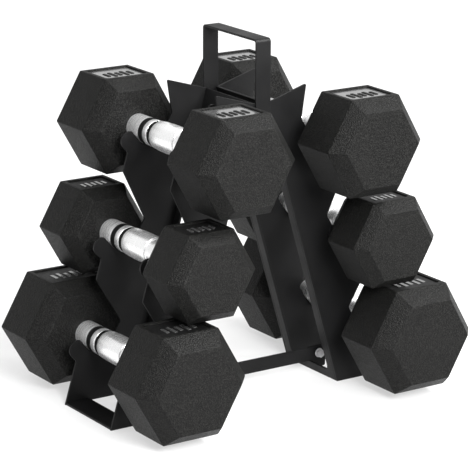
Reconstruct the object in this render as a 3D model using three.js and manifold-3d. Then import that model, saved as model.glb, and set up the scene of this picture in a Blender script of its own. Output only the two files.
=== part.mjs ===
// A folded steel A-frame stand that holds six hex dumbbells, three to a side, with a
// flat carry strip over the top. Millimetres, +Z up, X across the two legs, Y along the dumbbells.
import * as THREE from "three";
import { mergeVertices } from "three/addons/utils/BufferGeometryUtils.js";
import Module from "manifold-3d";

const wasm = await Module();
wasm.setup();

// ---- sizes that drive the rest ----
const gap = 0.3; // clearance left between touching pieces
const sheet = 2; // steel sheet thickness

const topAxisX = 66.3; // top dumbbell axis from the middle plane
const topAxisZ = 237.9; // and above the floor
const legSpreadX = 54.6; // from the top axis out to the bottom one
const legDropZ = 182.2; // and down to it
const middleAlong = -96.4; // middle axis down the leg from the top one
const middleOff = 1.3; // and how far it stands out from the line of axes

const frameHalfWidth = 40; // outer faces of the side plates from y = 0
const plateInner = -50; // inner edge of a side plate, square off the line of axes
const plateOuter = 16; // its outer straight edge
const plateTop = 47.4; // square-cut top above the top axis, along the leg
const plateTopOuter = -6; // where that cut ends on the outer side
const windowHalfWidth = 28.7; // open window in each leg web
const windowTop = 35; // its upper edge, along the leg
const windowCorner = 5;

const collarRadius = 12; // the part of a handle that sits in the hooks
const grooveRadius = collarRadius - 0.6;
const ringRadius = collarRadius;
const gripRadius = collarRadius + 1.3;
const gripEndRadius = collarRadius + 0.6;
const gripHalf = 18.4; // then a chamfer down to the first groove
const grooveStart = 19;
const ringStart = 23.9;
const ringEnd = 31;
const collarStart = 37.2;
const handleDepth = 30; // how far a handle runs into its heads

// Head sizes: circumradius, then distances from y = 0 of inner end, inner shoulder,
// outer shoulder and outer end, then the circumradius of the end faces.
const heads = {
  top: { radius: 50, inner: 56.8, innerEdge: 70.2, outerEdge: 114.7, outer: 127.5, end: 38.1 },
  middle: { radius: 44.9, inner: 56.1, innerEdge: 69.8, outerEdge: 106.8, outer: 118, end: 34.5 },
  bottom: { radius: 55.1, inner: 56.6, innerEdge: 71.1, outerEdge: 115.2, outer: 130.7, end: 41.8 },
};
const rubberWall = 6; // rubber over the iron core
const headCorner = 3.5; // rounding along the six long edges
const headShoulder = 4; // rounding where the bevels start
const labelDepth = 2.2; // sunk panel on the upper flat
const labelInset = 4;
const labelCorner = 2.5;

const carryWidth = 15.2;
const carryTop = topAxisZ + 88.6;
const carryBend = 3.5;
const apexTop = topAxisZ + 26.4; // top face of the plate that joins the legs
const carryBottom = apexTop - 16;

const barBottom = 9.3;
const barHeight = 12.5;
const barReach = 18.4; // the bar runs this far past the back of a leg
const boltReach = 9.2; // and its bolt sits this far past it
const boltRadius = 2;
const boltAcross = 7;
const boltHeadHeight = 3;
const washerRadius = 4.3;
const washerThickness = 0.8;
const nutHeight = 3.2;
const floorStripWidth = 23.7;

// ---- sizes that follow ----
const tilt = Math.atan2(legSpreadX, legDropZ);
const seatRadius = collarRadius + gap;
// each tier's axis as [along, off] in leg directions
const tierPlace = {
  top: [0, 0],
  middle: [middleAlong, middleOff],
  bottom: [-Math.hypot(legSpreadX, legDropZ), 0],
};
const barMiddle = barBottom + barHeight / 2;
const sideInnerFace = frameHalfWidth - sheet;
const webHalfWidth = sideInnerFace - gap;
const legBackX = legPoint(1, alongAtHeight(barMiddle, plateInner + sheet), plateInner + sheet).x;
const barHalfLength = legBackX + barReach;
const boltX = legBackX + boltReach;
const apexHalfWidth = legPoint(1, alongAtHeight(apexTop, plateInner), plateInner).x - 1.1 * gap;

const paint = "#1d1d1f";
const parts = new THREE.Group();
parts.name = "dumbbell_rack";

// ---- helpers ----
function toSolid(geometry) {
  const bare = geometry.clone();
  bare.deleteAttribute("normal");
  bare.deleteAttribute("uv");
  const merged = mergeVertices(bare, 1e-4);
  return new wasm.Manifold(new wasm.Mesh({
    numProp: 3,
    vertProperties: Float32Array.from(merged.attributes.position.array),
    triVerts: Uint32Array.from(merged.index.array),
  }));
}

function toGeometry(solid) {
  const mesh = solid.getMesh();
  const geometry = new THREE.BufferGeometry();
  geometry.setAttribute("position", new THREE.BufferAttribute(mesh.vertProperties, 3));
  geometry.setIndex(new THREE.BufferAttribute(mesh.triVerts, 1));
  geometry.computeVertexNormals();
  return geometry;
}

function cut(body, ...tools) {
  return tools.reduce((left, tool) => left.subtract(toSolid(tool)), toSolid(body));
}

function add(name, geometry, color, metalness, roughness) {
  const material = new THREE.MeshStandardMaterial({ color, metalness, roughness });
  const mesh = new THREE.Mesh(geometry, material);
  mesh.name = name;
  parts.add(mesh);
  return mesh;
}

// Corners [a, b, radius] to a closed outline with each corner rounded.
function roundOutline(corners, steps = 3) {
  const outline = [];
  corners.forEach(([a, b, radius = 0], i) => {
    const here = new THREE.Vector2(a, b);
    const before = corners[(i + corners.length - 1) % corners.length];
    const after = corners[(i + 1) % corners.length];
    const back = new THREE.Vector2(before[0], before[1]).sub(here);
    const ahead = new THREE.Vector2(after[0], after[1]).sub(here);
    const room = 0.48 * Math.min(back.length(), ahead.length());
    back.normalize();
    ahead.normalize();
    const half = Math.acos(THREE.MathUtils.clamp(back.dot(ahead), -1, 1)) / 2;
    const reach = Math.min(radius / Math.tan(half), room);
    if (radius <= 0 || reach < 0.05 || half > 1.55) {
      outline.push(here);
      return;
    }
    const start = here.clone().addScaledVector(back, reach);
    const end = here.clone().addScaledVector(ahead, reach);
    const trueRadius = reach * Math.tan(half);
    const centre = here.clone().addScaledVector(
      back.clone().add(ahead).normalize(), trueRadius / Math.sin(half));
    const from = Math.atan2(start.y - centre.y, start.x - centre.x);
    let sweep = Math.atan2(end.y - centre.y, end.x - centre.x) - from;
    sweep -= 2 * Math.PI * Math.round(sweep / (2 * Math.PI));
    for (let k = 0; k <= steps; k += 1) {
      const angle = from + sweep * k / steps;
      outline.push(new THREE.Vector2(
        centre.x + trueRadius * Math.cos(angle), centre.y + trueRadius * Math.sin(angle)));
    }
  });
  return outline;
}

// An outline in the XZ plane given thickness along Y.
function plateXZ(outline, yMin, yMax) {
  const plate = new THREE.ExtrudeGeometry(new THREE.Shape(outline), {
    depth: yMax - yMin, bevelEnabled: false });
  return plate.rotateX(Math.PI / 2).translate(0, yMax, 0);
}

// A point of a leg: along is measured up the leg from the top axis, off is square to it.
function legPoint(side, along, off) {
  return new THREE.Vector2(
    side * (topAxisX - along * Math.sin(tilt) + off * Math.cos(tilt)),
    topAxisZ + along * Math.cos(tilt) + off * Math.sin(tilt));
}

// How far up the leg a height above the floor lies, at a given offset.
function alongAtHeight(height, off) {
  return (height - topAxisZ - off * Math.sin(tilt)) / Math.cos(tilt);
}

// Where a line from a point touches a circle about the origin; turn picks the side.
function touchPoint(a, b, radius, turn) {
  const angle = Math.atan2(b, a) + turn * Math.acos(radius / Math.hypot(a, b));
  return [radius * Math.cos(angle), radius * Math.sin(angle)];
}

function arcPoints(radius, from, to, steps) {
  return Array.from({ length: steps + 1 }, (_, k) => {
    const angle = from + (to - from) * k / steps;
    return [radius * Math.cos(angle), radius * Math.sin(angle)];
  });
}

// ---- side plates with their hooks ----
// Each hook is a seat round the handle, an outer ear and a throat wall on the inner side,
// drawn about the handle's own axis as [along, off]. Above it the edge runs in on a slant.
const earCentre = [-11.8, seatRadius + 5];
const earRadius = 8.5;
const throatTop = [19.4, -seatRadius - 7.1, 3.5];
const throatWall = [8, -seatRadius - 4.1, 3];
const slantStart = { middle: 56.9, bottom: 52 };

function seatArc(from, to) {
  let sweep = to - from;
  sweep -= 2 * Math.PI * Math.round(sweep / (2 * Math.PI));
  return arcPoints(seatRadius, from, from + sweep, 7).map(([a, b]) => [a, b, 0]);
}

function hook() {
  const earTop = [earCentre[0] + earRadius, earCentre[1]];
  const first = touchPoint(throatWall[0], throatWall[1], seatRadius, -1);
  const last = touchPoint(earTop[0], earTop[1], seatRadius, 1);
  const ear = arcPoints(earRadius, 0, 0.86 * Math.PI, 8)
    .map(([a, b]) => [earCentre[0] + a, earCentre[1] + b, 0]);
  return [
    throatTop, throatWall,
    ...seatArc(Math.atan2(first[1], first[0]), Math.atan2(last[1], last[0])),
    ...ear, [earCentre[0] - 1.25 * earRadius, plateOuter, 2.5],
  ];
}

function sideOutline(side) {
  const corners = [[plateTop, plateInner, 0], [plateTop, plateTopOuter, 1]];
  for (const [tier, [along, off]] of Object.entries(tierPlace)) {
    if (slantStart[tier]) corners.push([slantStart[tier] + along, plateOuter, 3]);
    hook().forEach(([a, b, radius], k, all) => {
      const onEdge = k === all.length - 1; // the straight edge doesn't shift with the tier
      corners.push([a + along, onEdge ? b : b + off, radius]);
    });
  }
  corners.push([alongAtHeight(0, plateOuter), plateOuter, 0]);
  corners.push([alongAtHeight(0, plateInner), plateInner, 0]);
  return roundOutline(corners).map((p) => legPoint(side, p.x, p.y));
}

// ---- webs, the flat backs of the legs, each with one tall window ----
function legBasis(side) {
  const across = new THREE.Vector3(0, 1, 0);
  const up = new THREE.Vector3(-side * Math.sin(tilt), 0, Math.cos(tilt));
  return new THREE.Matrix4().makeBasis(across, up, across.clone().cross(up));
}

function web(side) {
  const outerFace = plateInner + sheet;
  const blank = plateXZ([
    legPoint(side, alongAtHeight(0, plateInner), plateInner),
    legPoint(side, alongAtHeight(0, outerFace), outerFace),
    legPoint(side, plateTop, outerFace),
    legPoint(side, plateTop, plateInner),
  ], -webHalfWidth, webHalfWidth);
  const low = alongAtHeight(barBottom - 2 * gap, outerFace);
  const opening = roundOutline([
    [-windowHalfWidth, low, windowCorner], [windowHalfWidth, low, windowCorner],
    [windowHalfWidth, windowTop, windowCorner], [-windowHalfWidth, windowTop, windowCorner],
  ]);
  const window = new THREE.ExtrudeGeometry(new THREE.Shape(opening), {
    depth: 8 * sheet, bevelEnabled: false });
  window.translate(0, 0, -4 * sheet).applyMatrix4(legBasis(side));
  const base = legPoint(side, 0, plateInner + sheet / 2);
  window.translate(base.x, 0, base.y);
  return toGeometry(cut(blank, window));
}

// ---- dumbbell heads ----
function hexRing(radius, corner, y) {
  const ring = [];
  for (let k = 0; k < 6; k += 1) {
    const angle = k * Math.PI / 3;
    const reach = radius - corner / Math.cos(Math.PI / 6);
    const steps = corner > 0 ? 2 : 0;
    for (let j = 0; j <= steps; j += 1) {
      const turn = steps ? angle + (j / steps - 0.5) * Math.PI / 3 : angle;
      ring.push(new THREE.Vector3(
        reach * Math.cos(angle) + corner * Math.cos(turn), y,
        reach * Math.sin(angle) + corner * Math.sin(turn)));
    }
  }
  return ring;
}

// Skin a run of rings along +Y and close both ends.
function loft(rings) {
  const count = rings[0].length;
  const position = rings.flat().flatMap((p) => [p.x, p.y, p.z]);
  const index = [];
  for (let i = 0; i + 1 < rings.length; i += 1) {
    for (let k = 0; k < count; k += 1) {
      const a = i * count + k;
      const b = i * count + (k + 1) % count;
      index.push(a, a + count, b, b, a + count, b + count);
    }
  }
  const last = (rings.length - 1) * count;
  const middle = position.length / 3;
  position.push(0, rings[0][0].y, 0, 0, rings[rings.length - 1][0].y, 0);
  for (let k = 0; k < count; k += 1) {
    const next = (k + 1) % count;
    index.push(middle, k, next);
    index.push(middle + 1, last + next, last + k);
  }
  const geometry = new THREE.BufferGeometry();
  geometry.setAttribute("position", new THREE.Float32BufferAttribute(position, 3));
  geometry.setIndex(index);
  return geometry;
}

// Half of a shoulder rounded in the plane of distance and radius.
function headProfile(head) {
  const corners = [
    [head.inner, 0], [head.inner, head.end, 2], [head.innerEdge, head.radius, headShoulder],
    [head.outerEdge, head.radius, headShoulder], [head.outer, head.end, 2], [head.outer, 0]];
  const outline = roundOutline(corners, 2);
  return outline.slice(1, -1);
}

function coreRings(head, grow) {
  const wall = rubberWall / Math.cos(Math.PI / 6) - grow / Math.cos(Math.PI / 6);
  return [
    hexRing(head.end - wall, 0, head.inner + rubberWall - grow),
    hexRing(head.radius - wall, 0, head.innerEdge - grow),
    hexRing(head.radius - wall, 0, head.outerEdge + grow),
    hexRing(head.end - wall, 0, head.outer - rubberWall + grow),
  ];
}

function rod(radius, yMin, yMax, segments = 20) {
  return new THREE.CylinderGeometry(radius, radius, yMax - yMin, segments)
    .translate(0, (yMin + yMax) / 2, 0);
}

function labelPocket(head) {
  const flat = head.radius * Math.cos(Math.PI / 6);
  const half = head.radius / 2 - labelInset;
  const outline = roundOutline([
    [-half, head.innerEdge + labelInset, labelCorner],
    [half, head.innerEdge + labelInset, labelCorner],
    [half, head.outerEdge - labelInset, labelCorner],
    [-half, head.outerEdge - labelInset, labelCorner],
  ], 3);
  return new THREE.ExtrudeGeometry(new THREE.Shape(outline), {
    depth: 2 * labelDepth, bevelEnabled: false }).translate(0, 0, flat - labelDepth);
}

function headShell(head) {
  const rings = headProfile(head).map((p) => hexRing(p.y, Math.min(headCorner, p.y / 4), p.x));
  return cut(
    loft(rings),
    loft(coreRings(head, gap)),
    rod(collarRadius + gap, head.inner - 1, head.inner + rubberWall + 1),
    labelPocket(head));
}

function headCore(head) {
  const end = head.inner + handleDepth;
  return cut(loft(coreRings(head, 0)), rod(collarRadius + gap, head.inner, end + gap));
}

function handle(head) {
  const end = head.inner + handleDepth;
  const swell = [0.45, 0.8].map((part) => [
    gripRadius - (gripRadius - gripEndRadius) * part ** 2, gripHalf * part]);
  const half = [
    [gripRadius, 0], ...swell, [gripEndRadius, gripHalf], [grooveRadius, grooveStart],
    [grooveRadius, ringStart], [ringRadius, ringStart + 0.3], [ringRadius, ringEnd - 0.6],
    [grooveRadius, ringEnd], [grooveRadius, collarStart], [collarRadius, collarStart + 0.3],
    [collarRadius, end], [0, end]];
  const profile = [
    ...half.slice(1).reverse().map(([r, y]) => new THREE.Vector2(r, -y)),
    ...half.map(([r, y]) => new THREE.Vector2(r, y)),
  ];
  return new THREE.LatheGeometry(profile, 20);
}

// A dumbbell is drawn about its own axis, then moved to its place on the rack.
function addDumbbell(side, tier) {
  const head = heads[tier];
  const { x, y: z } = legPoint(side, ...tierPlace[tier]);
  const label = `${side < 0 ? "left" : "right"}_${tier}`;
  const place = (geometry) => geometry.translate(x, 0, z);
  const shell = headShell(head);
  const core = headCore(head);
  add(`${label}_handle`, place(handle(head)), "#b9bcc0", 1, 0.2);
  add(`${label}_rear_head`, place(toGeometry(shell)), "#202022", 0, 0.7);
  add(`${label}_rear_core`, place(toGeometry(core)), "#4a4a4c", 0.8, 0.6);
  add(`${label}_front_head`, place(toGeometry(shell.mirror([0, 1, 0]))), "#202022", 0, 0.7);
  add(`${label}_front_core`, place(toGeometry(core.mirror([0, 1, 0]))), "#4a4a4c", 0.8, 0.6);
}

// ---- the carry strip and the plate under it ----
function carryStrip() {
  const outer = frameHalfWidth + gap + sheet;
  const inner = frameHalfWidth + gap;
  const under = carryTop - sheet;
  const bend = carryBend - sheet;
  const outline = roundOutline([
    [-outer, carryBottom, 0], [-outer, carryTop, carryBend], [outer, carryTop, carryBend],
    [outer, carryBottom, 0], [inner, carryBottom, 0], [inner, under, bend],
    [-inner, under, bend], [-inner, carryBottom, 0],
  ], 5);
  const strip = new THREE.ExtrudeGeometry(new THREE.Shape(outline), {
    depth: carryWidth, bevelEnabled: false });
  strip.applyMatrix4(new THREE.Matrix4().makeBasis(
    new THREE.Vector3(0, 1, 0), new THREE.Vector3(0, 0, 1), new THREE.Vector3(1, 0, 0)));
  return strip.translate(-carryWidth / 2, 0, 0);
}

function apexPlate() {
  return new THREE.BoxGeometry(2 * apexHalfWidth, 2 * frameHalfWidth, sheet)
    .translate(0, 0, apexTop - sheet / 2);
}

// ---- cross bar low down, with its lugs and fasteners ----
const barHalfThickness = sheet / 2;
const lugFront = barHalfThickness + gap;
const lugBack = lugFront + sheet;

function crossBar() {
  const outline = roundOutline([
    [-barHalfLength, barBottom, 2], [barHalfLength, barBottom, 2],
    [barHalfLength, barBottom + barHeight, 2], [-barHalfLength, barBottom + barHeight, 2]]);
  const hole = (side) => rod(boltRadius + gap, -5, 5, 24).translate(side * boltX, 0, barMiddle);
  return toGeometry(cut(
    plateXZ(outline, -barHalfThickness, barHalfThickness), hole(-1), hole(1)));
}

function barLug(side) {
  const face = plateInner + sheet + gap;
  const top = barBottom + barHeight;
  const low = legPoint(side, alongAtHeight(1, face), face);
  const high = legPoint(side, alongAtHeight(top, face), face);
  const outline = roundOutline([
    [low.x, low.y, 0], [high.x, high.y, 1.5],
    [side * barHalfLength, top, 4], [side * barHalfLength, low.y, 2]]);
  const hole = rod(boltRadius + gap, 0, 8, 24).translate(side * boltX, 0, barMiddle);
  return toGeometry(cut(plateXZ(outline, lugFront, lugBack), hole));
}

function hexPrism(across, yMin, yMax) {
  const radius = across / 2 / Math.cos(Math.PI / 6);
  return new THREE.CylinderGeometry(radius, radius, yMax - yMin, 6)
    .translate(0, (yMin + yMax) / 2, 0);
}

function bolt(side) {
  const headBack = -barHalfThickness - gap - washerThickness - gap;
  const tip = lugBack + gap + nutHeight + 2;
  const headShape = toSolid(hexPrism(boltAcross, headBack - boltHeadHeight, headBack));
  const whole = headShape.add(toSolid(rod(boltRadius, headBack - 1, tip, 24)));
  return toGeometry(whole).translate(side * boltX, 0, barMiddle);
}

function washer(side) {
  const back = -barHalfThickness - gap;
  const ring = cut(
    rod(washerRadius, back - washerThickness, back), rod(boltRadius + gap, back - 5, back + 5, 24));
  return toGeometry(ring).translate(side * boltX, 0, barMiddle);
}

function nut(side) {
  const front = lugBack + gap;
  const body = cut(
    hexPrism(boltAcross, front, front + nutHeight), rod(boltRadius + gap, front - 5, front + 15, 24));
  return toGeometry(body).translate(side * boltX, 0, barMiddle);
}

function floorStrip(side) {
  const outer = Math.abs(legPoint(1, alongAtHeight(sheet, plateOuter), plateOuter).x);
  return new THREE.BoxGeometry(floorStripWidth, 2 * webHalfWidth, sheet)
    .translate(side * (outer - floorStripWidth / 2), 0, sheet / 2);
}

// ---- assembly ----
for (const side of [-1, 1]) {
  const label = side < 0 ? "left" : "right";
  add(`${label}_front_side_plate`,
    plateXZ(sideOutline(side), -frameHalfWidth, -sideInnerFace), paint, 0.3, 0.5);
  add(`${label}_rear_side_plate`,
    plateXZ(sideOutline(side), sideInnerFace, frameHalfWidth), paint, 0.3, 0.5);
  add(`${label}_leg_web`, web(side), paint, 0.3, 0.5);
  add(`${label}_floor_strip`, floorStrip(side), paint, 0.3, 0.5);
  add(`${label}_bar_lug`, barLug(side), paint, 0.3, 0.5);
  add(`${label}_bar_bolt`, bolt(side), "#c2c4c6", 1, 0.25);
  add(`${label}_bar_washer`, washer(side), "#c2c4c6", 1, 0.3);
  add(`${label}_bar_nut`, nut(side), "#c2c4c6", 1, 0.3);
}
add("apex_plate", apexPlate(), paint, 0.3, 0.5);
add("carry_strip", carryStrip(), paint, 0.3, 0.5);
add("cross_bar", crossBar(), paint, 0.3, 0.5);

for (const side of [-1, 1]) {
  Object.keys(tierPlace).forEach((tier) => addDumbbell(side, tier));
}

export default parts;
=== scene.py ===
import math

import bmesh
import bpy
from mathutils import Matrix, Vector


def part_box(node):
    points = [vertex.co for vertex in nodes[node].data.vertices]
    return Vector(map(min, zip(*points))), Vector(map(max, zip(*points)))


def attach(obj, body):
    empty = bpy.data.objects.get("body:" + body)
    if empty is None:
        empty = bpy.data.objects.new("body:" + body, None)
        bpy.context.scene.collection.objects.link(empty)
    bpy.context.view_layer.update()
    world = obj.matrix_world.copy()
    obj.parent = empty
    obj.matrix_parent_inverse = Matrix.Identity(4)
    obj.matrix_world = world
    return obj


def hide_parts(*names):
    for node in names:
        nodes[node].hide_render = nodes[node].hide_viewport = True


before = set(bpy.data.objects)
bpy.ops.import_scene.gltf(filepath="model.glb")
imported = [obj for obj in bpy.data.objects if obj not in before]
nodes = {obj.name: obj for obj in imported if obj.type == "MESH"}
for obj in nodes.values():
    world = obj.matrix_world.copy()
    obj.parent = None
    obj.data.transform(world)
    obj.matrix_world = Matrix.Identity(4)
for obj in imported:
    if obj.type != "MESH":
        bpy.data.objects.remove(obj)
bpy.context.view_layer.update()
sides = ["left", "right"]
tiers = ["top", "middle", "bottom"]
ends = ["front", "rear"]
print("stand and dumbbells loaded:", len(nodes), "nodes")


def startMaterial(name):
    material = bpy.data.materials.new(name)
    material.use_nodes = True
    tree = material.node_tree
    tree.nodes.clear()
    output = tree.nodes.new("ShaderNodeOutputMaterial")
    shader = tree.nodes.new("ShaderNodeBsdfPrincipled")
    tree.links.new(shader.outputs["BSDF"], output.inputs["Surface"])
    coords = tree.nodes.new("ShaderNodeTexCoord")
    return material, tree, shader, coords.outputs["Object"]


def addNoise(tree, coords, scale, detail=4.0, roughness=0.55, stretch=None):
    noise = tree.nodes.new("ShaderNodeTexNoise")
    noise.inputs["Scale"].default_value = scale
    noise.inputs["Detail"].default_value = detail
    noise.inputs["Roughness"].default_value = roughness
    if stretch:
        mapping = tree.nodes.new("ShaderNodeMapping")
        mapping.inputs["Scale"].default_value = stretch
        tree.links.new(coords, mapping.inputs["Vector"])
        coords = mapping.outputs["Vector"]
    tree.links.new(coords, noise.inputs["Vector"])
    return noise.outputs["Fac"]


def addCells(tree, coords, scale):
    cells = tree.nodes.new("ShaderNodeTexVoronoi")
    cells.inputs["Scale"].default_value = scale
    tree.links.new(coords, cells.inputs["Vector"])
    return cells.outputs["Distance"]


# colours are (place along the noise, colour)
def paint(tree, shader, value, colours):
    ramp = tree.nodes.new("ShaderNodeValToRGB")
    elements = ramp.color_ramp.elements
    for i, (place, colour) in enumerate(colours):
        element = elements[i] if i < 2 else elements.new(place)
        element.position = place
        element.color = (*colour, 1)
    tree.links.new(value, ramp.inputs["Fac"])
    tree.links.new(ramp.outputs["Color"], shader.inputs["Base Color"])


noiseSpan = (0.3, 0.7)  # where most of a noise's values fall


def roughen(tree, shader, value, roughness):
    spread = tree.nodes.new("ShaderNodeMapRange")
    for socket, number in zip(("From Min", "From Max", "To Min", "To Max"),
                              (*noiseSpan, *roughness)):
        spread.inputs[socket].default_value = number
    tree.links.new(value, spread.inputs["Value"])
    tree.links.new(spread.outputs["Result"], shader.inputs["Roughness"])


# relief is (depth in metres, strength)
def emboss(tree, shader, height, relief, under=None):
    bump = tree.nodes.new("ShaderNodeBump")
    bump.inputs["Distance"].default_value, bump.inputs["Strength"].default_value = relief
    tree.links.new(height, bump.inputs["Height"])
    if under:
        tree.links.new(under, bump.inputs["Normal"])
    tree.links.new(bump.outputs["Normal"], shader.inputs["Normal"])
    return bump.outputs["Normal"]


# moulded rubber: black, dull, with a fine pebbled skin and paler dust in the grain
rubberLook = {
    "colours": [(0.35, (0.0018, 0.0018, 0.0018)), (0.5, (0.0044, 0.0044, 0.0042)),
                (0.62, (0.0140, 0.0140, 0.0132))],
    "speckScale": 1100,
    "roughScale": 500,
    "roughness": (0.40, 0.54),
    "shine": 0.085,
    "pebbleScale": 900,
    "pebbleRelief": (0.0004, 0.9),
    "grainScale": 700,
    "grainRelief": (0.0003, 0.5),
}


def makeRubber(look):
    material, tree, shader, coords = startMaterial("headRubber")
    specks = addNoise(tree, coords, look["speckScale"], detail=2, roughness=0.5)
    paint(tree, shader, specks, look["colours"])
    wear = addNoise(tree, coords, look["roughScale"], detail=3)
    roughen(tree, shader, wear, look["roughness"])
    shader.inputs["Specular IOR Level"].default_value = look["shine"]
    pebbles = addCells(tree, coords, look["pebbleScale"])
    fine = emboss(tree, shader, pebbles, look["pebbleRelief"])
    grain = addNoise(tree, coords, look["grainScale"], detail=4)
    emboss(tree, shader, grain, look["grainRelief"], under=fine)
    return material


# powder coat: satin black, faint orange peel
coatLook = {
    "colours": [(0.3, (0.0030, 0.0030, 0.0031)), (0.7, (0.0056, 0.0056, 0.0058))],
    "cloudScale": 25,
    "roughScale": 40,
    "roughness": (0.42, 0.55),
    "shine": 0.18,
    "peelScale": 700,
    "peelRelief": (0.00008, 0.6),
}


def makeCoat(look):
    material, tree, shader, coords = startMaterial("powderCoat")
    cloud = addNoise(tree, coords, look["cloudScale"], detail=5)
    paint(tree, shader, cloud, look["colours"])
    wear = addNoise(tree, coords, look["roughScale"], detail=4)
    roughen(tree, shader, wear, look["roughness"])
    peel = addNoise(tree, coords, look["peelScale"], detail=2, roughness=0.4)
    emboss(tree, shader, peel, look["peelRelief"])
    shader.inputs["Specular IOR Level"].default_value = look["shine"]
    return material


# plated grip: bright, with hair-fine turning marks round it; metallic under one adds a white
# diffuse share, a painted reflection that keeps it bright
chromeLook = {
    "colours": [(0.3, (0.93, 0.93, 0.932)), (0.6, (0.97, 0.97, 0.97))],
    "roughness": (0.22, 0.36),
    "metallic": 0.8,
    "turningStretch": (40, 2600, 40),
    "turningRelief": (0.00001, 0.3),
}


def makeChrome(look):
    material, tree, shader, coords = startMaterial("gripChrome")
    lines = addNoise(tree, coords, 1, detail=3, roughness=0.6, stretch=look["turningStretch"])
    paint(tree, shader, lines, look["colours"])
    roughen(tree, shader, lines, look["roughness"])
    emboss(tree, shader, lines, look["turningRelief"])
    # metallic under one: the diffuse share is painted reflection, brighter than the mirror
    # beside the dark heads
    shader.inputs["Metallic"].default_value = look["metallic"]
    return material


# near-black rings in the rear grooves of the grip: painted shade and a painted reflection of
# the dark front head
grooveShadeLook = {
    "colours": [(0.3, (0.002, 0.002, 0.002)), (0.7, (0.005, 0.005, 0.005))],
    "cloudScale": 300,
    "roughScale": 500,
    "roughness": (0.5, 0.65),
    "shine": 0.15,
}


def makeGrooveShade(look):
    material, tree, shader, coords = startMaterial("paintedGrooveShade")
    paint(tree, shader, addNoise(tree, coords, look["cloudScale"]), look["colours"])
    roughen(tree, shader, addNoise(tree, coords, look["roughScale"]), look["roughness"])
    shader.inputs["Specular IOR Level"].default_value = look["shine"]
    return material


# the smooth panel sunk in each head: glossy grey on the top tier; on the middle and bottom
# tiers a dull black copy, painted shade from the heads above
panelLook = {
    "pale": {"colours": [(0.35, (0.05, 0.05, 0.05)), (0.7, (0.075, 0.075, 0.075))],
             "roughness": (0.1, 0.18), "shine": 1.0, "lacquer": 0.5},
    # painted shade: the same panel made dull black for the tiers shaded by the heads above
    "paintedShade": {"colours": [(0.35, (0.0025, 0.0025, 0.0025)), (0.7, (0.005, 0.005, 0.005))],
             "roughness": (0.45, 0.6), "shine": 0.25, "lacquer": 0.0},
    "lacquerRoughness": 0.08,
    "cloudScale": 220,
    "roughScale": 400,
    "grainScale": 1500,
    "grainRelief": (0.00005, 0.5),
}


def makePanel(name, look, tone):
    material, tree, shader, coords = startMaterial(name)
    paint(tree, shader, addNoise(tree, coords, look["cloudScale"]), tone["colours"])
    roughen(tree, shader, addNoise(tree, coords, look["roughScale"]), tone["roughness"])
    grain = addNoise(tree, coords, look["grainScale"], detail=2)
    emboss(tree, shader, grain, look["grainRelief"])
    shader.inputs["Specular IOR Level"].default_value = tone["shine"]
    shader.inputs["Coat Weight"].default_value = tone["lacquer"]
    shader.inputs["Coat Roughness"].default_value = look["lacquerRoughness"]
    return material


# zinc plated bolt, washer and nut
zincLook = {
    "colours": [(0.3, (0.70, 0.70, 0.71)), (0.65, (0.86, 0.86, 0.87))],
    "cloudScale": 350,
    "roughness": (0.32, 0.45),
    "metallic": 0.75,
}


def makeZinc(look):
    material, tree, shader, coords = startMaterial("boltZinc")
    cloud = addNoise(tree, coords, look["cloudScale"], detail=4)
    paint(tree, shader, cloud, look["colours"])
    roughen(tree, shader, cloud, look["roughness"])
    shader.inputs["Metallic"].default_value = look["metallic"]
    return material


# rough cast iron, inside the heads
ironLook = {
    "colours": [(0.3, (0.045, 0.045, 0.048)), (0.7, (0.10, 0.10, 0.105))],
    "grainScale": 250,
    "grainRelief": (0.0006, 0.8),
    "roughness": (0.6, 0.85),
    "metallic": 0.8,
}


def makeIron(look):
    material, tree, shader, coords = startMaterial("coreIron")
    grain = addNoise(tree, coords, look["grainScale"], detail=6, roughness=0.7)
    paint(tree, shader, grain, look["colours"])
    roughen(tree, shader, grain, look["roughness"])
    emboss(tree, shader, grain, look["grainRelief"])
    shader.inputs["Metallic"].default_value = look["metallic"]
    return material


headRubber = makeRubber(rubberLook)
powderCoat = makeCoat(coatLook)
gripChrome = makeChrome(chromeLook)
paintedGrooveShade = makeGrooveShade(grooveShadeLook)
palePanel = makePanel("palePanel", panelLook, panelLook["pale"])
paintedShadePanel = makePanel("paintedShadePanel", panelLook, panelLook["paintedShade"])
boltZinc = makeZinc(zincLook)
coreIron = makeIron(ironLook)
print("materials made")


def meshFrom(name, bm):
    mesh = bpy.data.meshes.new(name)
    bm.to_mesh(mesh)
    bm.free()
    return mesh


def addObject(name, data):
    thing = bpy.data.objects.new(name, data)
    bpy.context.scene.collection.objects.link(thing)
    return thing


def smoothBelow(mesh, degrees):
    mesh.shade_smooth()
    mesh.set_sharp_from_angle(angle=math.radians(degrees))


flatPieceAngle = 35  # degrees; sharper edges than this stay sharp


def newPiece(name, bm, material, body, smoothAngle=flatPieceAngle):
    bmesh.ops.recalc_face_normals(bm, faces=bm.faces)
    mesh = meshFrom(name, bm)
    mesh.materials.append(material)
    piece = addObject(name, mesh)
    smoothBelow(mesh, smoothAngle)
    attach(piece, body)
    return piece


# a closed skin over rings of the same number of points, capped at both ends
def skinRings(bm, rings):
    made = [[bm.verts.new(point) for point in ring] for ring in rings]
    count = len(rings[0])
    for first, second in zip(made, made[1:]):
        for k in range(count):
            after = (k + 1) % count
            bm.faces.new((first[k], first[after], second[after], second[k]))
    bm.faces.new(made[0])
    bm.faces.new(made[-1])


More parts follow.
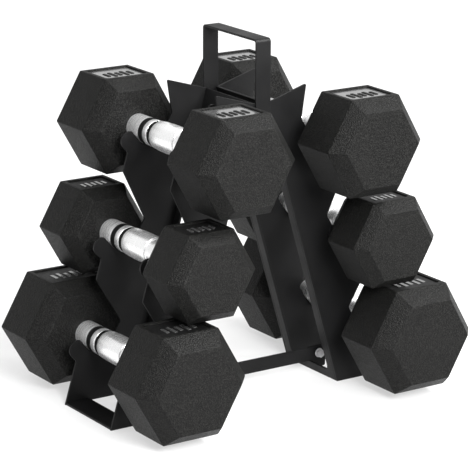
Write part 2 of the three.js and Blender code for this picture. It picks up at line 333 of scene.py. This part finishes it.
# corners are (a, b, radius); every corner with a radius is rounded
def roundCorners(corners, steps, closed=True):
    outline = []
    count = len(corners)
    for i, (a, b, radius) in enumerate(corners):
        here = Vector((a, b))
        if radius <= 0 or (not closed and i in (0, count - 1)):
            outline.append(here)
            continue
        back = Vector(corners[i - 1][:2]) - here
        ahead = Vector(corners[(i + 1) % count][:2]) - here
        room = 0.48 * min(back.length, ahead.length)  # under half, so arcs never meet
        back.normalize()
        ahead.normalize()
        half = back.angle(ahead) / 2
        reach = min(radius / math.tan(half), room)
        trueRadius = reach * math.tan(half)
        centre = here + (back + ahead).normalized() * (trueRadius / math.sin(half))
        start = here + back * reach - centre
        end = here + ahead * reach - centre
        turn = math.atan2(start.cross(end), start.dot(end))
        base = math.atan2(start.y, start.x)
        for k in range(steps + 1):
            angle = base + turn * k / steps
            outline.append(centre + Vector((math.cos(angle), math.sin(angle))) * trueRadius)
    return outline


# edge widths in metres, for the pieces of each leg, those across it and the fasteners
steelShape = {
    "legPieces": {
        "front_side_plate": ("FrontSidePlate", 0.0002),
        "rear_side_plate": ("RearSidePlate", 0.0002),
        "leg_web": ("LegWeb", 0.0002),
        "floor_strip": ("FloorStrip", 0.0002),
        "bar_lug": ("BarLug", 0.0002),
    },
    "crossPieces": {
        "apex_plate": ("apexPlate", 0.0004),
        "carry_strip": ("carryStrip", 0.0003),
        "cross_bar": ("crossBar", 0.0004),
    },
    "fasteners": {
        "bar_bolt": ("BarBolt", 0.0003),
        "bar_washer": ("BarWasher", 0.0003),
        "bar_nut": ("BarNut", 0.0003),
    },
    "mergeDistance": 1e-6,
    "flatAngle": 1,  # degrees
    "sharpAngle": 38,
    "edgeSegments": 2,
}


# a copy of a steel piece with its sheet edges broken, standing in for the sharp one
def softenEdges(nodeName, name, material, width):
    bm = bmesh.new()
    bm.from_mesh(nodes[nodeName].data)
    bmesh.ops.remove_doubles(bm, verts=bm.verts, dist=steelShape["mergeDistance"])
    bmesh.ops.dissolve_limit(bm, angle_limit=math.radians(steelShape["flatAngle"]),
                             verts=bm.verts, edges=bm.edges)
    sharp = [e for e in bm.edges if len(e.link_faces) == 2
             and e.calc_face_angle(0) > math.radians(steelShape["sharpAngle"])]
    bmesh.ops.bevel(bm, geom=sharp, offset=width, offset_type="OFFSET",
                    segments=steelShape["edgeSegments"], profile=0.5, affect="EDGES",
                    clamp_overlap=True)
    piece = newPiece(name, bm, material, "root")
    weighted = piece.modifiers.new("weightedNormals", "WEIGHTED_NORMAL")
    weighted.keep_sharp = True
    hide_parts(nodeName)


for side in sides:
    for node, (label, width) in steelShape["legPieces"].items():
        softenEdges(f"{side}_{node}", side + label, powderCoat, width)
for node, (label, width) in steelShape["crossPieces"].items():
    softenEdges(node, label, powderCoat, width)
for side in sides:
    for node, (label, width) in steelShape["fasteners"].items():
        softenEdges(f"{side}_{node}", side + label, boltZinc, width)
print("steel stand made")


# metres from the middle of the grip; radius is to the corners of the hexagon
headShape = {
    "top": {"radius": 0.0497, "innerEdge": 0.0702, "outerEdge": 0.1147, "endRadius": 0.0381},
    "middle": {"radius": 0.0446, "innerEdge": 0.0698, "outerEdge": 0.1068, "endRadius": 0.0345},
    "bottom": {"radius": 0.0548, "innerEdge": 0.0711, "outerEdge": 0.1152, "endRadius": 0.0418},
    "cornerRound": 0.0016,
    "cornerSteps": 5,
    "shoulderRound": 0.0018,
    "faceRound": 0.0012,
    "profileSteps": 4,
}

# the pocket in the upper flat, the plate in it and the row of plain bars on the plate
panelShape = {
    "depth": 0.0022,
    "inset": 0.0040,
    "cornerRound": 0.0025,
    "cornerSteps": 5,
    "rimRound": 0.0005,
    "rimSegments": 2,
    "rimAngle": 60,  # degrees
    "rimAboveFloor": 0.001,
    "cutterRise": 0.004,
    "plateGap": 0.0006,
    "plateLift": 0.0001,
    "plateTop": 0.0008,
    "barLengths": [0.30, 0.42, 0.30, 0.42, 0.30],  # shares of the panel's length
    "rowWidth": 0.72,
    "rowPlace": 0.42,
    "barShare": 0.24,
    "barRound": 0.0006,
    "barSteps": 3,
    "barSink": 0.0002,
    "barHeight": 0.0005,
}


def dumbbellAxis(side, tier):
    low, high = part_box(f"{side}_{tier}_handle")
    return Vector(((low.x + high.x) / 2, 0, (low.z + high.z) / 2))


def hexagonRing(radius, corner, y):
    ring = []
    steps = headShape["cornerSteps"]
    reach = radius - corner / math.cos(math.pi / 6)
    for k in range(6):
        angle = k * math.pi / 3
        for j in range(steps + 1):
            turn = angle + (j / steps - 0.5) * math.pi / 3
            ring.append((reach * math.cos(angle) + corner * math.cos(turn), y,
                         reach * math.sin(angle) + corner * math.sin(turn)))
    return ring


def roundedPlate(bm, xSpan, ySpan, corner, steps, zSpan):
    (xLow, xHigh), (yLow, yHigh) = xSpan, ySpan
    outline = roundCorners([(xLow, yLow, corner), (xHigh, yLow, corner),
                            (xHigh, yHigh, corner), (xLow, yHigh, corner)], steps)
    skinRings(bm, [[(p.x, p.y, z) for p in outline] for z in zSpan])


# carve the label pocket out of a head, then break its rim
def cutPocket(piece, axis, halfX, ySpan, floor, top):
    piece.data.transform(Matrix.Translation(-axis))
    bm = bmesh.new()
    roundedPlate(bm, (-halfX, halfX), ySpan, panelShape["cornerRound"],
                 panelShape["cornerSteps"], (floor, top))
    bmesh.ops.recalc_face_normals(bm, faces=bm.faces)
    tool = addObject("pocketTool", meshFrom("pocketTool", bm))
    carve = piece.modifiers.new("pocket", "BOOLEAN")
    carve.operation = "DIFFERENCE"
    carve.solver = "EXACT"
    carve.object = tool
    bpy.context.view_layer.update()
    carved = bpy.data.meshes.new_from_object(
        piece.evaluated_get(bpy.context.evaluated_depsgraph_get()))
    piece.modifiers.clear()
    spent = [piece.data, tool.data]
    piece.data = carved
    bpy.data.objects.remove(tool)
    for mesh in spent:
        bpy.data.meshes.remove(mesh)
    bm = bmesh.new()
    bm.from_mesh(carved)
    rim = [e for e in bm.edges if len(e.link_faces) == 2
           and e.calc_face_angle(0) > math.radians(panelShape["rimAngle"])
           and all(v.co.z > floor + panelShape["rimAboveFloor"] for v in e.verts)]
    bmesh.ops.bevel(bm, geom=rim, offset=panelShape["rimRound"],
                    segments=panelShape["rimSegments"], profile=0.5, affect="EDGES",
                    clamp_overlap=True)
    bm.to_mesh(carved)
    bm.free()
    carved.transform(Matrix.Translation(axis))
    smoothBelow(carved, flatPieceAngle)


def makePanelPlate(name, body, material, axis, halfX, ySpan, floor):
    gap = panelShape["plateGap"]
    bm = bmesh.new()
    roundedPlate(bm, (-halfX + gap, halfX - gap), (ySpan[0] + gap, ySpan[1] - gap),
                 panelShape["cornerRound"] - gap, panelShape["cornerSteps"],
                 (floor + panelShape["plateLift"], floor + panelShape["plateTop"]))
    bmesh.ops.translate(bm, verts=bm.verts, vec=axis)
    newPiece(name + "Panel", bm, material, body)


def makePanelBars(name, body, material, axis, halfX, ySpan, floor):
    bm = bmesh.new()
    plateTop = floor + panelShape["plateTop"]
    length = ySpan[1] - ySpan[0]
    span = 2 * halfX * panelShape["rowWidth"]
    pitch = span / len(panelShape["barLengths"])
    half = pitch * panelShape["barShare"]
    rowMiddle = ySpan[0] + length * panelShape["rowPlace"]
    for k, share in enumerate(panelShape["barLengths"]):
        middle = -span / 2 + pitch * (k + 0.5)
        reach = length * share / 2
        roundedPlate(bm, (middle - half, middle + half), (rowMiddle - reach, rowMiddle + reach),
                     panelShape["barRound"], panelShape["barSteps"],
                     (plateTop - panelShape["barSink"], plateTop + panelShape["barHeight"]))
    bmesh.ops.translate(bm, verts=bm.verts, vec=axis)
    newPiece(name + "Ribs", bm, material, body)


def makeHead(side, tier, end):
    shape = headShape[tier]
    node = f"{side}_{tier}_{end}_head"
    name = side + tier.capitalize() + end.capitalize()
    body = f"{side}_{tier}_dumbbell"
    low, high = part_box(node)
    axis = dumbbellAxis(side, tier)
    way = 1 if end == "rear" else -1
    inner = low.y if way > 0 else -high.y
    outer = high.y if way > 0 else -low.y
    profile = roundCorners([
        (inner, 0.0, 0), (inner, shape["endRadius"], headShape["faceRound"]),
        (shape["innerEdge"], shape["radius"], headShape["shoulderRound"]),
        (shape["outerEdge"], shape["radius"], headShape["shoulderRound"]),
        (outer, shape["endRadius"], headShape["faceRound"]), (outer, 0.0, 0)],
        headShape["profileSteps"], closed=False)[1:-1]
    bm = bmesh.new()
    skinRings(bm, [hexagonRing(p.y, min(headShape["cornerRound"], p.y / 4), p.x * way)
                   for p in profile])
    bmesh.ops.translate(bm, verts=bm.verts, vec=axis)
    piece = newPiece(name + "Head", bm, headRubber, body)

    flat = shape["radius"] * math.cos(math.pi / 6)
    floor = flat - panelShape["depth"]
    halfX = shape["radius"] / 2 - panelShape["inset"]
    ySpan = sorted(((shape["innerEdge"] + panelShape["inset"]) * way,
                    (shape["outerEdge"] - panelShape["inset"]) * way))
    cutPocket(piece, axis, halfX, ySpan, floor, flat + panelShape["cutterRise"])
    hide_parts(node)
    # middle and bottom heads get the dull black panel copy, painted shade from the head above
    plateMaterial, barMaterial = ((palePanel, headRubber) if tier == "top"
                                  else (paintedShadePanel, palePanel))
    makePanelPlate(name, body, plateMaterial, axis, halfX, ySpan, floor)
    makePanelBars(name, body, barMaterial, axis, halfX, ySpan, floor)


for side in sides:
    for tier in tiers:
        for end in ends:
            makeHead(side, tier, end)
print("heads made")


# profile rows are (distance from the middle, radius, rounding), out to the head
gripShape = {
    "swellRadius": 0.0133,
    "swellSteps": (0, 0.2, 0.4, 0.6, 0.8),
    "profile": [
        (0.0184, 0.0126, 0.0004), (0.0190, 0.0114, 0.0002), (0.0239, 0.0114, 0.0002),
        (0.0242, 0.0120, 0.0002), (0.0307, 0.0120, 0.0002), (0.0310, 0.0114, 0.0002),
        (0.0372, 0.0114, 0.0002), (0.0375, 0.0120, 0.0002)],
    "collarRadius": 0.0120,
    "roundSteps": 3,
    "segments": 96,
    "smoothAngle": 30,
}

# shade rings are (start, stop, radius), on the rear side only; they paint the shade and dark
# reflection seen in the rear grooves
grooveShadeShape = {
    "shadeRings": [(0.0188, 0.0241, 0.01190), (0.0308, 0.0376, 0.01205)],
    "thickness": 0.0006,
    "edgeRound": 0.0002,
    "roundSteps": 2,
}


def turnedRings(profile, segments):
    turns = [2 * math.pi * k / segments for k in range(segments)]
    return [[(r * math.cos(turn), y, r * math.sin(turn)) for turn in turns] for y, r in profile]


def makeGrip(side, tier):
    node = f"{side}_{tier}_handle"
    name = side + tier.capitalize()
    body = f"{side}_{tier}_dumbbell"
    axis = dumbbellAxis(side, tier)
    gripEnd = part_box(node)[1].y
    swell = gripShape["swellRadius"]
    swellEnd, endRadius = gripShape["profile"][0][:2]
    half = [(swellEnd * t, swell - (swell - endRadius) * t * t, 0)
            for t in gripShape["swellSteps"]]
    half += gripShape["profile"] + [(gripEnd, gripShape["collarRadius"], 0)]
    half = [(p.x, p.y) for p in roundCorners(half, gripShape["roundSteps"], closed=False)]
    whole = [(-y, r) for y, r in reversed(half[1:])] + half
    bm = bmesh.new()
    skinRings(bm, turnedRings(whole, gripShape["segments"]))
    bmesh.ops.translate(bm, verts=bm.verts, vec=axis)
    piece = newPiece(name + "Grip", bm, gripChrome, body,
                     gripShape["smoothAngle"])
    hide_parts(node)

    # painted shade and reflection: near-black rings filling the rear grooves of the grip
    thickness, edgeRound = grooveShadeShape["thickness"], grooveShadeShape["edgeRound"]
    bm = bmesh.new()
    for start, stop, radius in grooveShadeShape["shadeRings"]:
        shadeRing = roundCorners([(start, radius - thickness, 0), (start, radius, edgeRound),
                             (stop, radius, edgeRound), (stop, radius - thickness, 0)],
                            grooveShadeShape["roundSteps"], closed=False)
        skinRings(bm, turnedRings(shadeRing, gripShape["segments"]))
    bmesh.ops.translate(bm, verts=bm.verts, vec=axis)
    newPiece(name + "GrooveShade", bm, paintedGrooveShade, body, gripShape["smoothAngle"])


for side in sides:
    for tier in tiers:
        makeGrip(side, tier)
        for end in ends:
            core = nodes[f"{side}_{tier}_{end}_core"]
            core.data.materials.clear()
            core.data.materials.append(coreIron)
print("grips made")


# a pale table, lit a little from within
floorLook = {
    "colour": (0.36, 0.36, 0.36),
    "glow": 0.55,
    "glowColour": (1, 1, 1),
    "roughness": 0.9,
    "shine": 0.1,
    "size": 14,
    "place": (0, 2.0, -0.0002),
}


def makeFloor(look):
    bm = bmesh.new()
    bmesh.ops.create_grid(bm, x_segments=8, y_segments=8, size=look["size"] / 2)
    floor = addObject("floor", meshFrom("floor", bm))
    floor.location = look["place"]
    material, _, shader, _ = startMaterial("paleFloor")
    shader.inputs["Base Color"].default_value = (*look["colour"], 1)
    shader.inputs["Roughness"].default_value = look["roughness"]
    shader.inputs["Specular IOR Level"].default_value = look["shine"]
    shader.inputs["Emission Color"].default_value = (*look["glowColour"], 1)
    shader.inputs["Emission Strength"].default_value = look["glow"]
    floor.data.materials.append(material)


# sizes in metres, power in watts, spread in degrees
softBoxes = {
    "frontLeft": {"place": (-0.30, -1.2, 0.75), "target": (-0.08, -0.1, 0.2),
                  "size": 0.5, "power": 34},
    "topRight": {"place": (1.2, -1.0, 1.7), "target": (0, -0.1, 0.2),
                 "size": 0.7, "power": 62},
}
keyLight = {"place": (0.35, -0.62, 0.80), "target": (0, 0, 0), "strength": 2.2, "spread": 70}
surround = {"colour": (1.0, 1.0, 1.0), "strength": 0.86}


def aimLamp(name, data, look):
    lamp = addObject(name, data)
    lamp.location = look["place"]
    way = Vector(look["target"]) - lamp.location
    lamp.rotation_euler = way.to_track_quat("-Z", "Y").to_euler()


def makeLights():
    for name, box in softBoxes.items():
        data = bpy.data.lights.new(name, "AREA")
        data.shape = "RECTANGLE"
        data.size = data.size_y = box["size"]
        data.energy = box["power"]
        aimLamp(name, data, box)
    data = bpy.data.lights.new("key", "SUN")
    data.energy = keyLight["strength"]
    data.angle = math.radians(keyLight["spread"])
    aimLamp("key", data, keyLight)
    world = bpy.data.worlds.new("studio")
    world.use_nodes = True
    background = world.node_tree.nodes["Background"]
    background.inputs["Color"].default_value = (*surround["colour"], 1)
    background.inputs["Strength"].default_value = surround["strength"]
    bpy.context.scene.world = world


viewpoint = {
    "place": (-1.191, -1.789, 0.7505),
    "turn": -33.64,  # degrees from +Y
    "down": 15.81,
    "roll": 0.26,
    "lens": 192.35,  # millimetres, as is the sensor
    "sensor": 36,
    "clipEnd": 50,
}


def makeCamera(view):
    turn, down, roll = (math.radians(view[k]) for k in ("turn", "down", "roll"))
    ahead = Vector((-math.sin(turn) * math.cos(down), math.cos(turn) * math.cos(down),
                    -math.sin(down)))
    level = Vector((math.cos(turn), math.sin(turn), 0))
    upright = level.cross(ahead)
    right = math.cos(roll) * level + math.sin(roll) * upright
    up = math.cos(roll) * upright - math.sin(roll) * level
    data = bpy.data.cameras.new("camera")
    data.lens = view["lens"]
    data.sensor_width = view["sensor"]
    data.clip_end = view["clipEnd"]
    camera = addObject("camera", data)
    basis = Matrix((right, up, -ahead)).transposed().to_4x4()
    camera.matrix_world = Matrix.Translation(Vector(view["place"])) @ basis
    bpy.context.scene.camera = camera


makeFloor(floorLook)
makeLights()
makeCamera(viewpoint)
bpy.context.scene.view_settings.view_transform = "Standard"
print("studio made")
